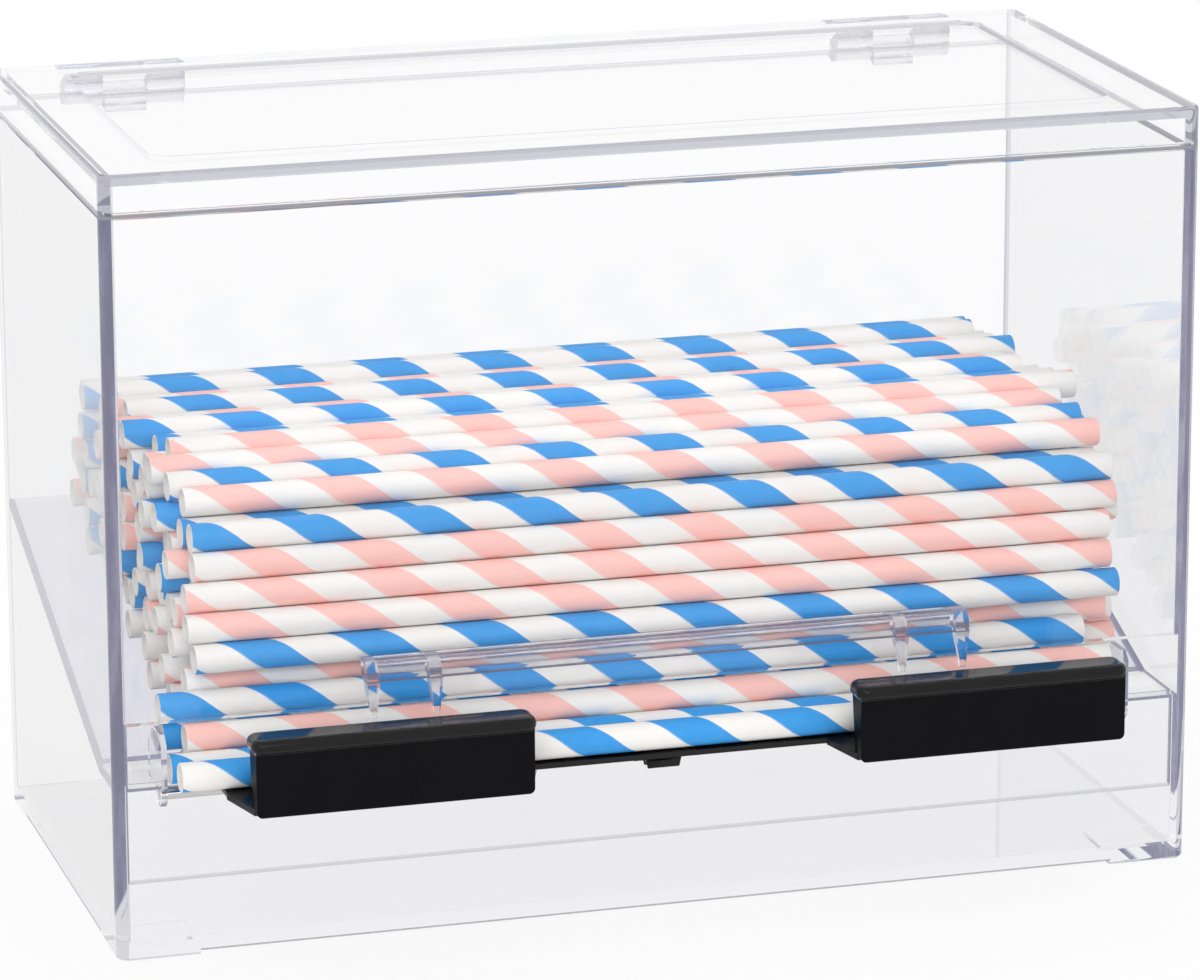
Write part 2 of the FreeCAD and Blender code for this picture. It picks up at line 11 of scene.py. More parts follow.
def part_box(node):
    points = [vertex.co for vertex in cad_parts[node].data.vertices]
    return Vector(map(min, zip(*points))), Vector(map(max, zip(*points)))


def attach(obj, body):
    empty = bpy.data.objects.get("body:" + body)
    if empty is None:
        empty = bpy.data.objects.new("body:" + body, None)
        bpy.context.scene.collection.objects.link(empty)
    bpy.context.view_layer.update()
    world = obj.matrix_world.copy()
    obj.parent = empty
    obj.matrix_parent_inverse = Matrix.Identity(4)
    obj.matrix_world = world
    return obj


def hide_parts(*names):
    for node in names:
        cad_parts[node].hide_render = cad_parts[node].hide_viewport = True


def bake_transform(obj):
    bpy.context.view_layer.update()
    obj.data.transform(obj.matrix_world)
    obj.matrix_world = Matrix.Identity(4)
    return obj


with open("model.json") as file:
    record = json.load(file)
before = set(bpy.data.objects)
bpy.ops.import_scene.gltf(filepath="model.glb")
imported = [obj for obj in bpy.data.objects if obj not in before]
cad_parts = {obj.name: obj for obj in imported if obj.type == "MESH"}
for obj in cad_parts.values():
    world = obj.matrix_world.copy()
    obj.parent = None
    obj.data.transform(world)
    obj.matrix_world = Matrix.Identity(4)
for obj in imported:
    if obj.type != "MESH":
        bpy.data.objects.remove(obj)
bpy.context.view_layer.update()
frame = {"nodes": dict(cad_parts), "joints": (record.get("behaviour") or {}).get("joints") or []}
nodes = frame["nodes"]
MM = 0.001

# ---- camera, from the photograph's frame of 1200 x 980 pixels ----------------
image_width = 1200
focal_pixels = 6159.88
camera_place = Vector((-0.34834, -1.19979, 0.41825))
camera_yaw = -0.28250
camera_pitch = 0.26630
camera_roll = 0.00301

# ---- colours as linear light -------------------------------------------------
blue_ink = (0.030, 0.325, 0.780)
pink_ink = (0.975, 0.560, 0.510)
warm_paper = (0.895, 0.876, 0.846)
inner_paper = (0.860, 0.840, 0.810)
black_plastic = (0.0036, 0.0036, 0.0042)
steel = (0.640, 0.630, 0.620)
edge_glow_colour = (0.265, 0.260, 0.350)     # painted glow, drawn as emission, for light that has run a long way inside the clear plastic
edge_glow_streak = (0.450, 0.445, 0.545)    # brighter streaks in that painted glow
far_edge_glow = (0.660, 0.660, 0.700)      # painted glow for what comes out of the lid's side and back edges
foot_edge_glow = (0.900, 0.900, 0.905)     # painted glow for what comes out close to the table
painted_grey_line = (0.340, 0.340, 0.375)        # thin painted lines at seams, drawn as a grey glow in place of the glass
painted_pale_line = (0.620, 0.620, 0.640)   # thin painted lines at cut edges, drawn as a pale glow
painted_dark_line = (0.150, 0.145, 0.210)   # thin painted dark lines on the small thick guard, drawn as emission in place of the glass
case_tint = (0.62, 0.61, 0.74)         # of the clear plastic, seen through a long way of it
sheet_tint = (0.60, 0.58, 0.72)
guard_tint = (0.52, 0.50, 0.64)

# ---- places on the case ------------------------------------------------------
floor_top = 3.4 * MM
foot_height = 1.0 * MM
foot_length = 17.0 * MM
seam_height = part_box("lid_shell")[0].z
ledge_depth = 15.0 * MM
skirt_drop = 21.0 * MM
guard_height = 4.0 * MM
panel_inset = {"side": 13.5 * MM, "front": 14.5 * MM, "back": 10.0 * MM}
panel_corner = 3.0 * MM
lid_plate = 2.0 * MM                   # thickness of the lid's plate
lid_front_edge = 4.0 * MM              # behind it the lid's edges get a paler painted glow, for more of the white studio that they see
lip_height = 3.05 * MM                 # of a thumb pad's polished lip
# half widths of the painted lines on the clear plastic
line_half_width = {
    "seam": 0.28 * MM,
    "between feet": 0.19 * MM,
    "panel across": 0.45 * MM,
    "panel along": 0.20 * MM,
    "guard rear": 0.40 * MM,
    "guard foot": 0.22 * MM,
    "insert bend": 0.90 * MM,
    "insert foot": 0.50 * MM,
}

# ---- studio ------------------------------------------------------------------
studio_light = 0.92                    # strength of the even light from all round
lamps = {                              # place, target, size and power in watts
    "key_softbox": ((-0.9, -1.1, 1.5), (0, 0, 0.08), (0.5, 0.5), 3.2),
    "front_fill": ((-0.3, -1.6, 0.6), (0, 0, 0.07), (1.2, 0.8), 5.0),
    "top_strip": ((0.1, 0.5, 1.6), (0, 0, 0.1), (1.4, 0.15), 2.0),
}
table_white = (0.900, 0.900, 0.905)
table_glow = 0.90                      # share of plain white that the table keeps in a shadow

# ---- straws ------------------------------------------------------------------
straw_radius = 3.0 * MM
straw_bore_radius = 2.6 * MM
stripe_pitch = 23.0 * MM
stripe_share = 0.48
straw_segments = 32
straw_rings = 14
paper_edge = 0.06 * MM

# Ink of the straws that show, and where along it one of its stripes lies, in mm from the middle.
lever_straws = {"tray_straw_front": ("blue", 4), "tray_straw_rear": ("blue", 12)}
front_straws = [("pink", 4), ("pink", 21), ("blue", 13), ("blue", 16), ("pink", 5),
                ("blue", 11), ("pink", 6), ("pink", 15), ("pink", 13), ("blue", 1)]
top_straws = [("pink", 10), ("blue", 12), ("pink", 1), ("pink", 21), ("blue", 2), ("blue", 21),
              ("pink", 0), ("blue", 15), ("pink", 20), ("blue", 15), ("blue", 17)]

# ---- lug under the middle of the tray's front edge ---------------------------
tray_reach = 12.5 * MM                 # of the tray in front of the case
tray_thickness = 1.1 * MM
lug_middle = -4.0 * MM
lug_width = 7.2 * MM
lug_depth = 2.5 * MM
lug_drop = 1.75 * MM
lug_taper = 0.45 * MM
lug_root = 0.2 * MM                    # of it inside the tray
lug_edge = 0.25 * MM

# ---- springs -----------------------------------------------------------------
wire_radius = 0.25 * MM
spring_mean_radius = 1.7 * MM
coil_turns = 4.5
points_per_turn = 28


# ---- node helpers ------------------------------------------------------------
class Graph:
    """Short calls for building the node tree of a material or of the world."""

    def __init__(self, owner, output="ShaderNodeOutputMaterial"):
        self.owner = owner
        owner.use_nodes = True
        self.tree = owner.node_tree
        self.tree.nodes.clear()
        self.out = self.add(output)

    def add(self, kind, **settings):
        node = self.tree.nodes.new(kind)
        for key, value in settings.items():
            setattr(node, key, value)
        return node

    def link(self, source, target):
        self.tree.links.new(source, target)

    def feed(self, target, value):
        """A socket is linked, and a plain value is set on the target itself."""
        if isinstance(value, bpy.types.NodeSocket):
            self.link(value, target)
        elif isinstance(value, tuple):
            target.default_value = (*value, 1.0)
        else:
            target.default_value = value

    def math(self, operation, a, b=0.0):
        node = self.add("ShaderNodeMath", operation=operation)
        self.feed(node.inputs[0], a)
        self.feed(node.inputs[1], b)
        return node.outputs[0]

    def noise(self, vector, scale, detail=2.0, roughness=0.5):
        node = self.add("ShaderNodeTexNoise")
        self.link(vector, node.inputs["Vector"])
        node.inputs["Scale"].default_value = scale
        node.inputs["Detail"].default_value = detail
        node.inputs["Roughness"].default_value = roughness
        return node.outputs["Fac"]

    def ramp(self, value, low, high, to_low=0.0, to_high=1.0):
        node = self.add("ShaderNodeMapRange")
        node.clamp = True
        self.feed(node.inputs["Value"], value)
        for key, number in (("From Min", low), ("From Max", high),
                            ("To Min", to_low), ("To Max", to_high)):
            node.inputs[key].default_value = number
        return node.outputs["Result"]

    def mix_colour(self, factor, a, b):
        node = self.add("ShaderNodeMix", data_type="RGBA")
        self.feed(node.inputs["Factor"], factor)
        sockets = [s for s in node.inputs if s.type == "RGBA"]
        for socket, value in zip(sockets, (a, b)):
            self.feed(socket, value)
        return [s for s in node.outputs if s.type == "RGBA"][0]

    def mix_shader(self, factor, a, b):
        node = self.add("ShaderNodeMixShader")
        self.feed(node.inputs[0], factor)
        self.link(a, node.inputs[1])
        self.link(b, node.inputs[2])
        return node.outputs[0]

    def bump(self, height, distance, strength=1.0, normal=None):
        node = self.add("ShaderNodeBump")
        node.inputs["Strength"].default_value = strength
        node.inputs["Distance"].default_value = distance
        self.link(height, node.inputs["Height"])
        if normal is not None:
            self.link(normal, node.inputs["Normal"])
        return node.outputs["Normal"]

    def rounded_edges(self, radius):
        node = self.add("ShaderNodeBevel", samples=6)
        node.inputs["Radius"].default_value = radius
        return node.outputs["Normal"]

    def object_place(self):
        return self.add("ShaderNodeTexCoord").outputs["Object"]

    def split(self, vector):
        """The x, y and z of a vector."""
        parts = self.add("ShaderNodeSeparateXYZ")
        self.link(vector, parts.inputs[0])
        return [parts.outputs[axis] for axis in "XYZ"]

    def object_facing(self):
        """How squarely a face looks along each axis of the object, from 0 to 1."""
        normal = self.add("ShaderNodeTexCoord").outputs["Normal"]
        return [self.math("ABSOLUTE", part) for part in self.split(normal)]

    def height_above(self, level):
        """1 where the piece, as it lies at rest, is higher than the level."""
        return self.math("GREATER_THAN", self.split(self.object_place())[2], level)

    def line_at(self, value, place, half_width):
        """1 in a thin line where the value is close to the place."""
        away = self.math("ABSOLUTE", self.math("SUBTRACT", value, place))
        return self.math("LESS_THAN", away, half_width)

    def principled(self, **values):
        node = self.add("ShaderNodeBsdfPrincipled")
        for key, value in values.items():
            self.feed(node.inputs[key.replace("_", " ")], value)
        return node

    def finish(self, shader, volume=None):
        self.link(shader, self.out.inputs["Surface"])
        if volume is not None:
            self.link(volume, self.out.inputs["Volume"])
        return self.owner


def material_graph(name):
    return Graph(bpy.data.materials.new(name))


# ---- materials ---------------------------------------------------------------
def clear_plastic(name, tint, density, ior, roughness=0.010, side_share=1.0, rim_share=0.80,
                  turns=2.5, lines=None, edge_glow_level=1.0, far_from=None):
    """Moulded clear plastic: refracts, tints where it is thick, and lets lamp light through.

    Where a ray has turned many times inside a wall, a painted glow takes the place of the glass:
    pale violet at its edges, and nearly white close to the table.  As painted shade, a wall seen
    at a slant keeps side_share of what is behind it, and a rounded or slanted rim keeps rim_share.
    The function lines gives the factors and colours of thin painted lines, drawn as glow.
    """
    waviness, lamp_share = 0.00002, 0.95
    g = material_graph(name)
    place = g.object_place()
    wave = g.noise(place, 22.0, 1.0, 0.4)
    normal = g.bump(wave, waviness, 0.5)
    marks = g.noise(place, 160.0, 4.0, 0.6)
    rough = g.ramp(marks, 0.45, 0.85, roughness, roughness * 3.5)
    # painted shade: the glass is tinted darker where it is seen at a slant and on rounded rims
    facing = g.add("ShaderNodeLayerWeight")
    facing.inputs["Blend"].default_value = 0.5
    slant = g.ramp(facing.outputs["Facing"], 0.45, 0.72)
    tone = g.mix_colour(slant, (0.99, 0.99, 0.995), (side_share, side_share, side_share + 0.005))
    rim_tone = (rim_share, rim_share - 0.01, rim_share + 0.05)
    tone = g.mix_colour(slanted(g), tone, rim_tone)
    glass = g.principled(Base_Color=tone, Roughness=rough, Normal=normal)
    glass.inputs["Transmission Weight"].default_value = 1.0
    glass.inputs["IOR"].default_value = ior
    # where a ray has turned many times, a painted glow replaces the glass; painted lines are drawn
    # as glow over it
    edges = painted_trapped_glow(g, place, edge_glow_level, far_from)
    body = g.mix_shader(many_turns(g, turns), glass.outputs["BSDF"], edges)
    for factor, colour in lines(g, place) if lines is not None else ():
        body = g.mix_shader(factor, body, plain_light(g, colour))
    g.owner.cycles.emission_sampling = "NONE"
    see_through = g.add("ShaderNodeBsdfTransparent")
    see_through.inputs["Color"].default_value = (lamp_share, lamp_share, lamp_share, 1.0)
    path = g.add("ShaderNodeLightPath")
    surface = g.mix_shader(path.outputs["Is Shadow Ray"], body, see_through.outputs["BSDF"])
    absorb = g.add("ShaderNodeVolumeAbsorption")
    absorb.inputs["Color"].default_value = (*tint, 1.0)
    absorb.inputs["Density"].default_value = density
    return g.finish(surface, absorb.outputs["Volume"])


def many_turns(g, turns):
    """1 for a ray that has been reflected more often than that inside the plastic."""
    path = g.add("ShaderNodeLightPath")
    return g.math("MAXIMUM", g.math("GREATER_THAN", path.outputs["Glossy Depth"], turns),
                  g.math("GREATER_THAN", path.outputs["Ray Depth"], 10.5))


# an emission of one colour, for the painted glows and painted lines on the clear plastic
def plain_light(g, colour):
    glow = g.add("ShaderNodeEmission")
    g.feed(glow.inputs["Color"], colour)
    glow.inputs["Strength"].default_value = 1.0
    return glow.outputs["Emission"]


def painted_trapped_glow(g, place, edge_glow_level, far_from):
    """Painted glow, pale violet with long streaks; the lower the level, the darker it is.

    Behind far_from, a distance along Y, the edges get a paler painted glow, for more of the
    white studio that they see.  Close to the table the painted glow is nearly white.
    """
    dark, streak = [tuple(c * edge_glow_level for c in colour) for colour in (edge_glow_colour, edge_glow_streak)]
    stretched = g.add("ShaderNodeMapping")
    stretched.inputs["Scale"].default_value = (0.12, 0.12, 0.12)
    g.link(place, stretched.inputs["Vector"])
    along = g.noise(stretched.outputs["Vector"], 260.0, 3.0, 0.7)
    across = g.noise(place, 900.0, 2.0, 0.5)
    lift = g.math("ADD", g.math("MULTIPLY", along, 0.7), g.math("MULTIPLY", across, 0.3))
    colour = g.mix_colour(g.ramp(lift, 0.46, 0.66), dark, streak)
    if far_from is not None:
        far = g.math("GREATER_THAN", g.split(place)[1], far_from)
        colour = g.mix_colour(far, colour, far_edge_glow)
    foot = g.ramp(g.split(place)[2], floor_top + 0.5 * MM, floor_top + 1.5 * MM, 1.0, 0.0)
    return plain_light(g, g.mix_colour(foot, colour, foot_edge_glow))


def slanted(g):
    """1 on rounded and chamfered edges."""
    across, deep, high = g.object_facing()
    return g.math("LESS_THAN", g.math("MAXIMUM", g.math("MAXIMUM", across, deep), high), 0.98)


def seam_line(g, place):
    """A painted grey line, drawn as glow, at the joint between case and lid, faint at the hinges'
    side.
    """
    _, y, z = g.split(place)
    strength = g.ramp(y, 0.0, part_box("lid_shell")[1].y - lid_plate, 0.92, 0.20)
    return g.math("MULTIPLY", g.line_at(z, seam_height, line_half_width["seam"]),
                  strength), painted_grey_line


def case_lines(g, place):
    """Painted lines, drawn as glow, at the joint with the lid and the edge between the feet."""
    low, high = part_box("case_shell")
    x, y, z = g.split(place)
    middle, half = (low.y + high.y) / 2, (high.y - low.y) / 2
    between_feet = g.math("MAXIMUM", g.line_at(x, 0.0, high.x - foot_length),
                          g.line_at(y, middle, half - foot_length))
    foot_edge = g.line_at(z, foot_height + 0.2 * MM, line_half_width["between feet"])
    foot_edge = g.math("MULTIPLY", foot_edge, between_feet)
    return [seam_line(g, place), (g.math("MULTIPLY", foot_edge, 0.75), painted_grey_line)]


def lid_lines(g, place):
    """Painted lines, drawn as glow, at the joint with the case and the outline of the sunk panel.
    """
    low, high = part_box("lid_shell")
    x, y, z = g.split(place)
    panel_low, panel_high = low.y + panel_inset["front"], high.y - panel_inset["back"]
    panel_x = high.x - panel_inset["side"]
    middle, half = (panel_low + panel_high) / 2, (panel_high - panel_low) / 2
    across = g.math("MAXIMUM", g.line_at(y, panel_low, line_half_width["panel across"]),
                    g.line_at(y, panel_high, line_half_width["panel across"]))
    across = g.math("MULTIPLY", across, g.line_at(x, 0.0, panel_x - panel_corner))
    along = g.line_at(g.math("ABSOLUTE", x), panel_x, line_half_width["panel along"])
    along = g.math("MULTIPLY", along, g.line_at(y, middle, half - panel_corner))
    outline = g.math("MULTIPLY", g.math("MAXIMUM", across, along),
                     g.math("GREATER_THAN", z, high.z - lid_plate))
    return [seam_line(g, place), (g.math("MULTIPLY", outline, 0.60), painted_pale_line)]


def guard_lines(g, place):
    """Painted dark lines, drawn as emission, at the guard's rear edge against the wall and the
    lower edge of its bar.
    """
    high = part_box("guard_bar")[1]
    _, y, z = g.split(place)
    rear = g.math("MULTIPLY", g.line_at(y, high.y, line_half_width["guard rear"]),
                  g.math("GREATER_THAN", z, high.z - 0.6 * MM))
    bar_foot = g.line_at(z, high.z - guard_height, line_half_width["guard foot"])
    return [(g.math("MULTIPLY", g.math("MAXIMUM", rear, bar_foot), 0.75), painted_dark_line)]


def insert_lines(g, place):
    """Painted lines, drawn as glow, at the insert's cut ends, the bend between ledge and ramp, and
    the foot of its skirt.
    """
    low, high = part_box("hopper_insert")
    x, y, z = g.split(place)
    bend_place = low.y + ledge_depth
    on_ramp = g.math("GREATER_THAN", y, bend_place)
    from_end = g.math("SUBTRACT", high.x, g.math("ABSOLUTE", x))
    width = g.ramp(on_ramp, 0.0, 1.0, 0.3 * MM, 1.0 * MM)
    ends = g.math("LESS_THAN", from_end, width)
    bend = g.line_at(y, bend_place + 0.5 * MM, line_half_width["insert bend"])
    bend = g.math("MULTIPLY", bend,
                  g.math("GREATER_THAN", z, low.z + skirt_drop - 0.3 * MM))
    foot = g.line_at(z, low.z, line_half_width["insert foot"])
    return [(g.math("MULTIPLY", g.math("MAXIMUM", ends, bend), 0.80), edge_glow_colour),
            (g.math("MULTIPLY", foot, 0.70), painted_pale_line)]


def black_shader(g, roughness, specular_level, coat=0.0):
    """Black ABS: a faint moulding texture and soft wear."""
    place = g.object_place()
    grain = g.noise(place, 2600.0, 3.0, 0.6)
    smears = g.noise(place, 95.0, 4.0, 0.55)
    normal = g.bump(grain, 0.000012, 0.6, g.rounded_edges(0.35 * MM))
    rough = g.ramp(smears, 0.35, 0.75, roughness * 0.85, roughness * 1.35)
    colour = g.mix_colour(smears, black_plastic, tuple(c * 1.7 for c in black_plastic))
    shader = g.principled(Base_Color=colour, Roughness=rough, Normal=normal)
    shader.inputs["IOR"].default_value = 1.50
    shader.inputs["Specular IOR Level"].default_value = specular_level
    shader.inputs["Coat Weight"].default_value = coat
    shader.inputs["Coat Roughness"].default_value = 0.02
    shader.inputs["Coat IOR"].default_value = 1.28
    return shader.outputs["BSDF"]


def black_moulding(name, roughness, specular_level):
    g = material_graph(name)
    return g.finish(black_shader(g, roughness, specular_level))


def pad_moulding(name):
    """A thumb pad: satin face, and a polished lip along its top."""
    g = material_graph(name)
    lip_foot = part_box("thumb_pad_left")[1].z - lip_height
    face = black_shader(g, 0.30, 0.05)
    lip = black_shader(g, 0.06, 0.04, coat=1.0)
    return g.finish(g.mix_shader(g.height_above(lip_foot), face, lip))


def polished_steel(name, roughness, scratch_scale):
    """Drawn wire: bright, with fine lines round it."""
    g = material_graph(name)
    mapping = g.add("ShaderNodeMapping")
    mapping.inputs["Scale"].default_value = (scratch_scale, 60.0, 60.0)
    g.link(g.object_place(), mapping.inputs["Vector"])
    lines = g.noise(mapping.outputs["Vector"], 30.0, 4.0, 0.7)
    rough = g.ramp(lines, 0.3, 0.8, roughness, roughness * 2.2)
    colour = g.mix_colour(lines, steel, tuple(c * 0.82 for c in steel))
    shader = g.principled(Base_Color=colour, Roughness=rough, Metallic=1.0,
                          Normal=g.bump(lines, 0.000008, 0.4))
    return g.finish(shader.outputs["BSDF"])


def paper_fibres(g, place):
    """Two sizes of fibre, for colour and for bump."""
    fine = g.noise(place, 3800.0, 3.0, 0.65)
    cloudy = g.noise(place, 420.0, 3.0, 0.5)
    return g.math("ADD", g.math("MULTIPLY", fine, 0.6), g.math("MULTIPLY", cloudy, 0.4))


def band(g, value, centre, reach):
    """1 at the centre, falling to 0 at the reach on both sides."""
    return g.ramp(g.math("ABSOLUTE", g.math("SUBTRACT", value, centre)), 0.0, reach, 1.0, 0.0)


def striped_paper():
    """Waxed paper wound into a tube, printed with one spiral stripe.

    The map's u counts turns round the straw and v counts stripe pitches along it.
    """
    g = material_graph("striped_paper")
    place = g.object_place()
    uv = g.add("ShaderNodeUVMap", uv_map="winding")
    turns, pitches, _ = g.split(uv.outputs["UV"])
    fibre = paper_fibres(g, place)
    wobble = g.math("MULTIPLY", g.math("SUBTRACT", g.noise(place, 700.0, 2.0), 0.5), 0.012)
    winding = g.math("SUBTRACT", pitches, turns)
    turn = g.math("FRACT", g.math("ADD", winding, wobble))
    rise = g.ramp(turn, 0.0, 0.008)
    fall = g.ramp(turn, stripe_share, stripe_share + 0.008, 1.0, 0.0)
    stripe = g.math("MULTIPLY", rise, fall)
    seam = g.math("MAXIMUM", band(g, turn, 0.012, 0.012),
                  g.math("MULTIPLY", band(g, turn, stripe_share, 0.010), 0.4))
    is_blue = g.add("ShaderNodeAttribute", attribute_name="is_blue")
    tone = g.add("ShaderNodeAttribute", attribute_name="tone")
    ink = g.mix_colour(is_blue.outputs["Fac"], pink_ink, blue_ink)
    ink = g.mix_colour(g.ramp(fibre, 0.35, 0.75, 0.0, 0.05), ink, warm_paper)
    paper = g.mix_colour(g.ramp(fibre, 0.3, 0.7), tuple(c * 0.97 for c in warm_paper), warm_paper)
    colour = g.mix_colour(stripe, paper, ink)
    colour = g.mix_colour(g.math("MULTIPLY", seam, 0.35), colour, warm_paper)
    shade = g.add("ShaderNodeHueSaturation")
    g.link(colour, shade.inputs["Color"])
    g.link(g.ramp(tone.outputs["Fac"], 0.0, 1.0, 0.95, 1.02), shade.inputs["Value"])
    height = g.math("SUBTRACT", fibre, g.math("MULTIPLY", seam, 0.9))
    shader = g.principled(Base_Color=shade.outputs["Color"],
                          Roughness=g.ramp(fibre, 0.3, 0.7, 0.42, 0.56),
                          Normal=g.bump(height, 0.000022, 0.55))
    shader.inputs["IOR"].default_value = 1.42
    shader.inputs["Specular IOR Level"].default_value = 0.35
    return g.finish(shader.outputs["BSDF"])


def plain_paper():
    """The inside of a straw and its cut ends."""
    g = material_graph("straw_inner_paper")
    fibre = paper_fibres(g, g.object_place())
    colour = g.mix_colour(fibre, tuple(c * 0.93 for c in inner_paper), inner_paper)
    shader = g.principled(Base_Color=colour, Roughness=g.ramp(fibre, 0.3, 0.7, 0.7, 0.85),
                          Normal=g.bump(fibre, 0.00003, 0.6))
    return g.finish(shader.outputs["BSDF"])


def directly_seen(g):
    """1 for rays from the camera, straight or by way of a mirror or glass."""
    path = g.add("ShaderNodeLightPath")
    return g.math("MAXIMUM", path.outputs["Is Camera Ray"],
                  g.math("MAXIMUM", path.outputs["Is Transmission Ray"],
                         path.outputs["Is Glossy Ray"]))


def table_top():
    """A pale table that reads white away from the object and keeps its shadow."""
    g = material_graph("pale_table")
    place = g.object_place()
    soft = g.noise(place, 900.0, 2.0)
    colour = g.mix_colour(soft, tuple(c * 0.985 for c in table_white), table_white)
    paint = g.principled(Base_Color=colour, Roughness=0.6, Normal=g.bump(soft, 0.00001, 0.2))
    paint.inputs["Specular IOR Level"].default_value = 0.1
    glow = g.add("ShaderNodeEmission")
    glow.inputs["Color"].default_value = (1.0, 1.0, 1.0, 1.0)
    glow.inputs["Strength"].default_value = 1.0
    distance = g.add("ShaderNodeVectorMath", operation="LENGTH")
    g.link(place, distance.inputs[0])
    share = g.ramp(distance.outputs["Value"], 0.25, 0.7, table_glow, 1.0)
    return g.finish(g.mix_shader(g.math("MULTIPLY", directly_seen(g), share),
                                 paint.outputs["BSDF"], glow.outputs["Emission"]))


# ---- meshes ------------------------------------------------------------------
def mesh_object(name, points, faces, smooth=True):
    mesh = bpy.data.meshes.new(name)
    mesh.from_pydata([tuple(p) for p in points], [], faces)
    mesh.update()
    if smooth:
        mesh.polygons.foreach_set("use_smooth", [True] * len(mesh.polygons))
    thing = bpy.data.objects.new(name, mesh)
    bpy.context.scene.collection.objects.link(thing)
    return thing


def loose_parts(mesh):
    """Vertex groups of a mesh that share no edge, as arrays of coordinates."""
    count = len(mesh.vertices)
    coordinates = np.empty(count * 3)
    mesh.vertices.foreach_get("co", coordinates)
    coordinates = coordinates.reshape(-1, 3)
    edges = np.empty(len(mesh.edges) * 2, dtype=int)
    mesh.edges.foreach_get("vertices", edges)
    edges = edges.reshape(-1, 2)
    label = np.arange(count)
    while True:
        lower = np.minimum(label[edges[:, 0]], label[edges[:, 1]])
        before = label.copy()
        np.minimum.at(label, edges[:, 0], lower)
        np.minimum.at(label, edges[:, 1], lower)
        label = label[label]
        if np.array_equal(before, label):
            break
    return [coordinates[label == root] for root in np.unique(label)]


def straw_places(node):
    """Each straw of a node as (y, z, left end, right end); its bore may be a part of its own."""
    found = []
    for part in loose_parts(node.data):
        low, high = part.min(axis=0), part.max(axis=0)
        y, z = ((low + high) / 2)[1:]
        same = next((f for f in found if math.hypot(f[0] - y, f[1] - z) < straw_radius / 2), None)
        if same is None:
            found.append([y, z, low[0], high[0]])
        else:
            same[2:] = [min(same[2], low[0]), max(same[3], high[0])]
    return sorted(tuple(f) for f in found)


def uneven(number, step):
    """A repeatable number from 0 to 1."""
    return (math.sin(number * step + 0.7) * 43.7585) % 1.0


def on_top(place, others):
    """True if no other straw lies over this one."""
    y, z = place[:2]
    return not any(abs(other[0] - y) < straw_radius * 1.7 and other[1] > z for other in others)


def plan_printing():
    """For each straw node, its straws' places and their (ink, stripe place in mm)."""
    plan, heap = {}, []
    for node_name in sorted(n for n in nodes if "straw" in n):
        places = straw_places(nodes[node_name])
        if node_name.startswith("tray_straw"):
            printing = [lever_straws[node_name]]
        elif node_name.startswith("front_straw"):
            printing = [front_straws[int(node_name[-2:]) - 1]]
        else:
            printing = []
            for place in places:
                number = len(heap) + len(printing)
                ink = "blue" if uneven(number, 5.123) < 0.46 else "pink"
                printing.append((ink, uneven(number, 1.713) * stripe_pitch / MM))
            heap += places
        plan[node_name] = (places, printing)
    straws = [place for places, printing in plan.values() for place in places]
    show = sorted(place for place in heap if on_top(place, straws))
    shown_printing = dict(zip(show, top_straws))
    for places, printing in plan.values():
        for k, place in enumerate(places):
            printing[k] = shown_printing.get(place, printing[k])
    return plan


def straw_rings_along(x0, x1):
    """(x, radius) from the left end over the outside, and back through the bore."""
    outside = [(x0 + paper_edge, straw_radius)]
    outside += [(x0 + (x1 - x0) * k / straw_rings, straw_radius) for k in range(1, straw_rings)]
    outside += [(x1 - paper_edge, straw_radius)]
    rim_right = [(x1, straw_radius - paper_edge), (x1, straw_bore_radius + paper_edge),
                 (x1 - paper_edge, straw_bore_radius)]
    rim_left = [(x0 + paper_edge, straw_bore_radius), (x0, straw_bore_radius + paper_edge),
                (x0, straw_radius - paper_edge)]
    return outside, rim_right + rim_left


def build_straws(name, places, printing, first_number):
    """One object of paper tubes with their printing laid out in the winding map."""
    points, faces, material_index = [], [], []
    turns, inks, tones = [], [], []
    for offset, ((y, z, x0, x1), (ink, stripe_place)) in enumerate(zip(places, printing)):
        outside, inside = straw_rings_along(x0, x1)
        rings = outside + inside
        base = len(points)
        front_turn = 0.5 + stripe_share / 2      # so that a stripe's middle faces the front
        for x, radius in rings:
            for k in range(straw_segments):
                angle = 2 * math.pi * k / straw_segments
                points.append((x, y + radius * math.cos(angle), z + radius * math.sin(angle)))
                inks.append(float(ink == "blue"))
                tones.append(uneven(first_number + offset, 3.177))
        for r in range(len(rings)):
            following = (r + 1) % len(rings)
            v0, v1 = [(rings[i][0] - stripe_place * MM) / stripe_pitch for i in (r, following)]
            for k in range(straw_segments):
                after = (k + 1) % straw_segments
                faces.append((base + r * straw_segments + k, base + following * straw_segments + k,
                              base + following * straw_segments + after,
                              base + r * straw_segments + after))
                material_index.append(0 if r < len(outside) - 1 else 1)
                u0, u1 = [i / straw_segments - front_turn for i in (k, k + 1)]
                turns += [(u0, v0), (u0, v1), (u1, v1), (u1, v0)]
    thing = mesh_object(name, points, faces)
    mesh = thing.data
    mesh.polygons.foreach_set("material_index", material_index)
    layer = mesh.uv_layers.new(name="winding")
    layer.data.foreach_set("uv", np.array(turns, dtype=np.float32).ravel())
    for key, values in (("is_blue", inks), ("tone", tones)):
        attribute = mesh.attributes.new(key, "FLOAT", "POINT")
        attribute.data.foreach_set("value", np.array(values, dtype=np.float32))
    for finish in ("striped_paper", "straw_inner_paper"):
        mesh.materials.append(materials[finish])
    return thing


def make_straws():
    number = 100
    for node_name, (places, printing) in plan_printing().items():
        paper = build_straws("paper_" + node_name, places, printing, number)
        number += len(places)
        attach(paper, "lever" if node_name.startswith("tray_straw") else "case")
        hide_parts(node_name)


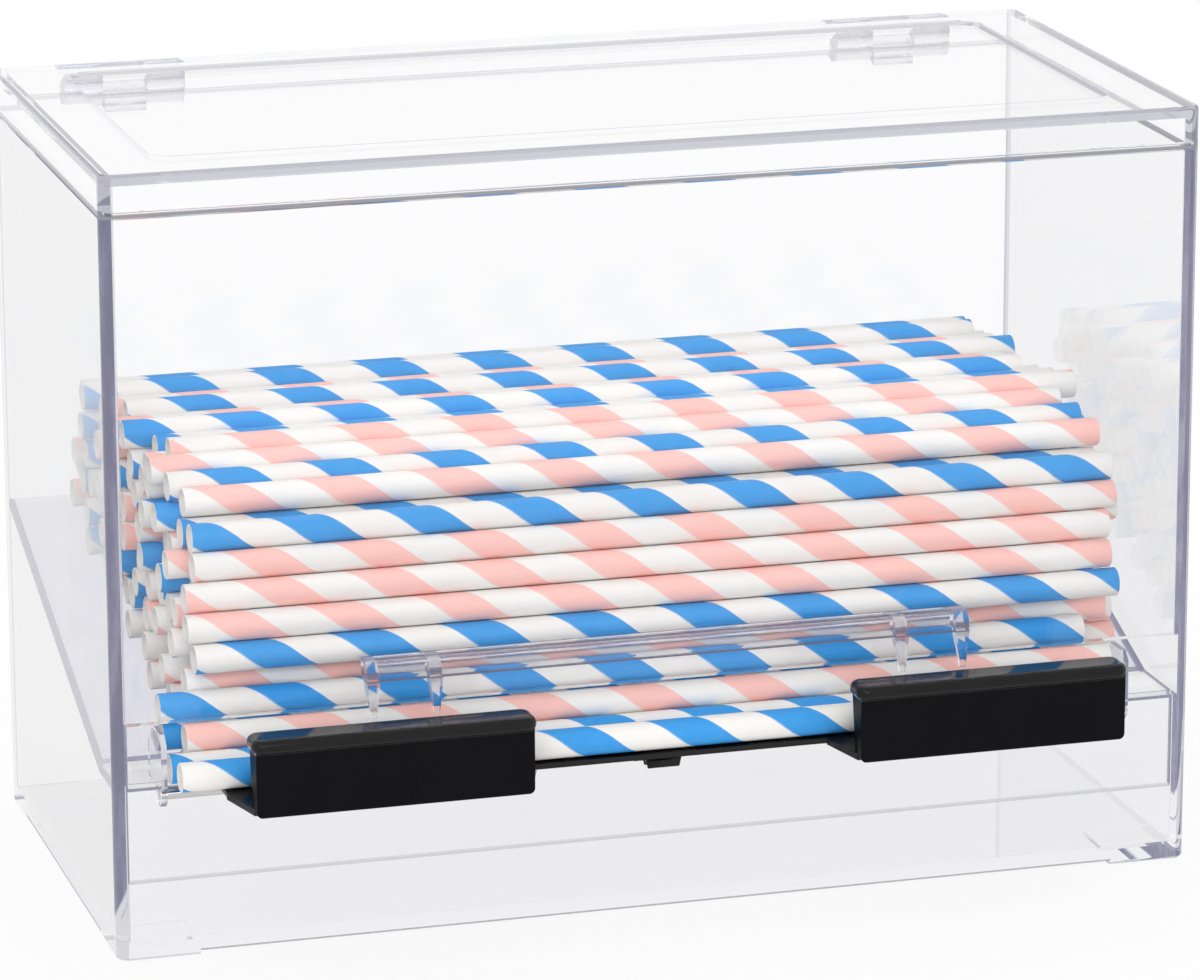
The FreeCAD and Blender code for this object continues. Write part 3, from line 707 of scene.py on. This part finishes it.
def sweep(name, path, radius, segments=10):
    """A round wire along a list of points, closed at both ends."""
    path = [Vector(p) for p in path]
    points, faces = [], []
    side = Vector((1, 0, 0))
    for k, here in enumerate(path):
        ahead = path[min(k + 1, len(path) - 1)]
        behind = path[max(k - 1, 0)]
        along = (ahead - behind).normalized()
        side = side - along * side.dot(along)
        if side.length < 1e-6:
            side = along.orthogonal()
        side.normalize()
        other = along.cross(side)
        for s in range(segments):
            angle = 2 * math.pi * s / segments
            points.append(here + (side * math.cos(angle) + other * math.sin(angle)) * radius)
    for k in range(len(path) - 1):
        for s in range(segments):
            t = (s + 1) % segments
            faces.append((k * segments + s, k * segments + t,
                          (k + 1) * segments + t, (k + 1) * segments + s))
    faces.append(tuple(reversed(range(segments))))
    last = (len(path) - 1) * segments
    faces.append(tuple(last + s for s in range(segments)))
    return mesh_object(name, points, faces)


def make_clip_lug():
    """A small tapered lug with softened edges, under the tray's front edge."""
    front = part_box("case_shell")[0].y - tray_reach + lug_root
    tray_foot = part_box("lever_tray")[1].z - tray_thickness
    half = lug_width / 2
    outline = [(half, lug_root), (-half, lug_root),
               (lug_taper - half, -lug_drop), (half - lug_taper, -lug_drop)]
    points = [(lug_middle + x, y, tray_foot + z)
              for y in (front, front + lug_depth) for x, z in outline]
    sides = [(k, (k + 1) % 4, 4 + (k + 1) % 4, 4 + k) for k in range(4)]
    lug = mesh_object("tray_clip_lug", points, [(0, 1, 2, 3), (7, 6, 5, 4)] + sides)
    mesh = bmesh.new()
    mesh.from_mesh(lug.data)
    bmesh.ops.bevel(mesh, geom=mesh.edges[:], offset=lug_edge, segments=3, profile=0.5,
                    affect="EDGES")
    bmesh.ops.recalc_face_normals(mesh, faces=mesh.faces[:])
    mesh.to_mesh(lug.data)
    mesh.free()
    lug.data.materials.append(materials["black_satin"])
    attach(lug, "lever")


def frame_joint(name):
    joint = next(j for j in frame["joints"] if j["name"] == name)
    return Vector(joint["pos_m"])


def make_spring(side):
    """A wound torsion spring: one leg under the tray, one on the wall."""
    low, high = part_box("return_spring_" + side)
    axis = frame_joint("lever_pivot")
    first, last = low.x + wire_radius, high.x - wire_radius
    leg_high = Vector((first, low.y + wire_radius, high.z - wire_radius))
    wall_leg_foot = Vector((last, high.y - wire_radius, low.z + wire_radius))
    steps = int(coil_turns * points_per_turn)
    coil = []
    for k in range(steps + 1):
        share = k / steps
        angle = -math.pi / 2 - share * coil_turns * 2 * math.pi
        coil.append(Vector((first + (last - first) * share,
                            axis.y + spring_mean_radius * math.cos(angle),
                            axis.z + spring_mean_radius * math.sin(angle))))
    wire = sweep("torsion_spring_" + side, [leg_high] + coil + [wall_leg_foot], wire_radius)
    wire.data.materials.append(materials["spring_steel"])
    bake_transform(wire)
    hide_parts("return_spring_" + side)


# ---- finish of the CAD nodes -------------------------------------------------
finish_of_node = {
    "case_shell": "clear_case",
    "case_hinge_lug_left": "clear_hinge",
    "case_hinge_lug_right": "clear_hinge",
    "lid_shell": "clear_lid",
    "lid_hinge_ears_left": "clear_hinge",
    "lid_hinge_ears_right": "clear_hinge",
    "hinge_pin_left": "clear_hinge",
    "hinge_pin_right": "clear_hinge",
    "hopper_insert": "clear_insert",
    "pivot_cheek_left": "clear_cheek",
    "pivot_cheek_right": "clear_cheek",
    "guard_bar": "clear_guard",
    "pivot_rod": "rod_steel",
    "lever_tray": "black_satin",
    "thumb_pad_left": "black_gloss",
    "thumb_pad_right": "black_gloss",
}


def dress_nodes():
    for node_name, finish in finish_of_node.items():
        for slot in nodes[node_name].material_slots:
            slot.material = materials[finish]


# ---- surroundings ------------------------------------------------------------
def make_floor():
    half = 6.0
    floor = mesh_object("table", [(-half, -half, 0), (half, -half, 0), (half, half, 0),
                                  (-half, half, 0)], [(0, 1, 2, 3)], smooth=False)
    floor.location.z = -0.0002
    floor.data.materials.append(table_top())


def make_lamp(name, place, target, size, power):
    lamp = bpy.data.lights.new(name, "AREA")
    lamp.shape = "RECTANGLE"
    lamp.size, lamp.size_y = size
    lamp.energy = power
    holder = bpy.data.objects.new(name, lamp)
    holder.location = place
    holder.rotation_euler = (Vector(target) - Vector(place)).to_track_quat("-Z", "Y").to_euler()
    bpy.context.scene.collection.objects.link(holder)


def make_world():
    """An even white studio: plain white where it is seen, a little less as light."""
    world = bpy.data.worlds.new("studio")
    bpy.context.scene.world = world
    g = Graph(world, "ShaderNodeOutputWorld")
    lighting = g.add("ShaderNodeBackground")
    lighting.inputs["Strength"].default_value = studio_light
    seen = g.add("ShaderNodeBackground")
    seen.inputs["Strength"].default_value = 1.0
    for background in (lighting, seen):
        background.inputs["Color"].default_value = (1.0, 1.0, 1.0, 1.0)
    g.finish(g.mix_shader(directly_seen(g), lighting.outputs[0], seen.outputs[0]))


def make_camera():
    yaw, pitch, roll = camera_yaw, camera_pitch, camera_roll
    level_right = Vector((math.cos(yaw), math.sin(yaw), 0))
    forward = Vector((-math.sin(yaw) * math.cos(pitch), math.cos(yaw) * math.cos(pitch),
                      -math.sin(pitch)))
    level_up = level_right.cross(forward)
    right = level_right * math.cos(roll) - level_up * math.sin(roll)
    up = level_right * math.sin(roll) + level_up * math.cos(roll)
    data = bpy.data.cameras.new("photo_camera")
    data.sensor_fit = "HORIZONTAL"
    data.sensor_width = 36.0
    data.lens = focal_pixels * data.sensor_width / image_width
    data.clip_start = 0.05
    data.clip_end = 50.0
    camera = bpy.data.objects.new("photo_camera", data)
    rotation = Matrix((right, up, -forward)).transposed().to_4x4()
    camera.matrix_world = Matrix.Translation(camera_place) @ rotation
    bpy.context.scene.collection.objects.link(camera)
    bpy.context.scene.camera = camera


make_camera()
materials = {
    "clear_case": clear_plastic("clear_case", case_tint, 3.0, 1.30, side_share=0.77,
                                rim_share=0.60, lines=case_lines),
    "clear_lid": clear_plastic("clear_lid", case_tint, 5.0, 1.30, side_share=0.96,
                               rim_share=0.62, edge_glow_level=0.85, lines=lid_lines,
                               far_from=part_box("lid_shell")[0].y + lid_front_edge),
    "clear_insert": clear_plastic("clear_insert", sheet_tint, 4.0, 1.42,
                                  lines=insert_lines),
    "clear_cheek": clear_plastic("clear_cheek", sheet_tint, 6.0, 1.42),
    "clear_guard": clear_plastic("clear_guard", guard_tint, 12.0, 1.49, rim_share=0.95,
                                 turns=1.5, edge_glow_level=0.9, lines=guard_lines),
    "clear_hinge": clear_plastic("clear_hinge", sheet_tint, 8.0, 1.35, roughness=0.16,
                                 side_share=0.88),
    "black_gloss": pad_moulding("black_gloss"),
    "black_satin": black_moulding("black_satin", 0.25, 0.30),
    "rod_steel": polished_steel("rod_steel", 0.10, 4.0),
    "spring_steel": polished_steel("spring_steel", 0.22, 60.0),
    "striped_paper": striped_paper(),
    "straw_inner_paper": plain_paper(),
}
dress_nodes()
make_straws()
for side in ("left", "right"):
    make_spring(side)
make_clip_lug()
make_floor()
make_world()
for lamp_name, settings in lamps.items():
    make_lamp(lamp_name, *settings)
bpy.context.scene.view_settings.view_transform = "Standard"
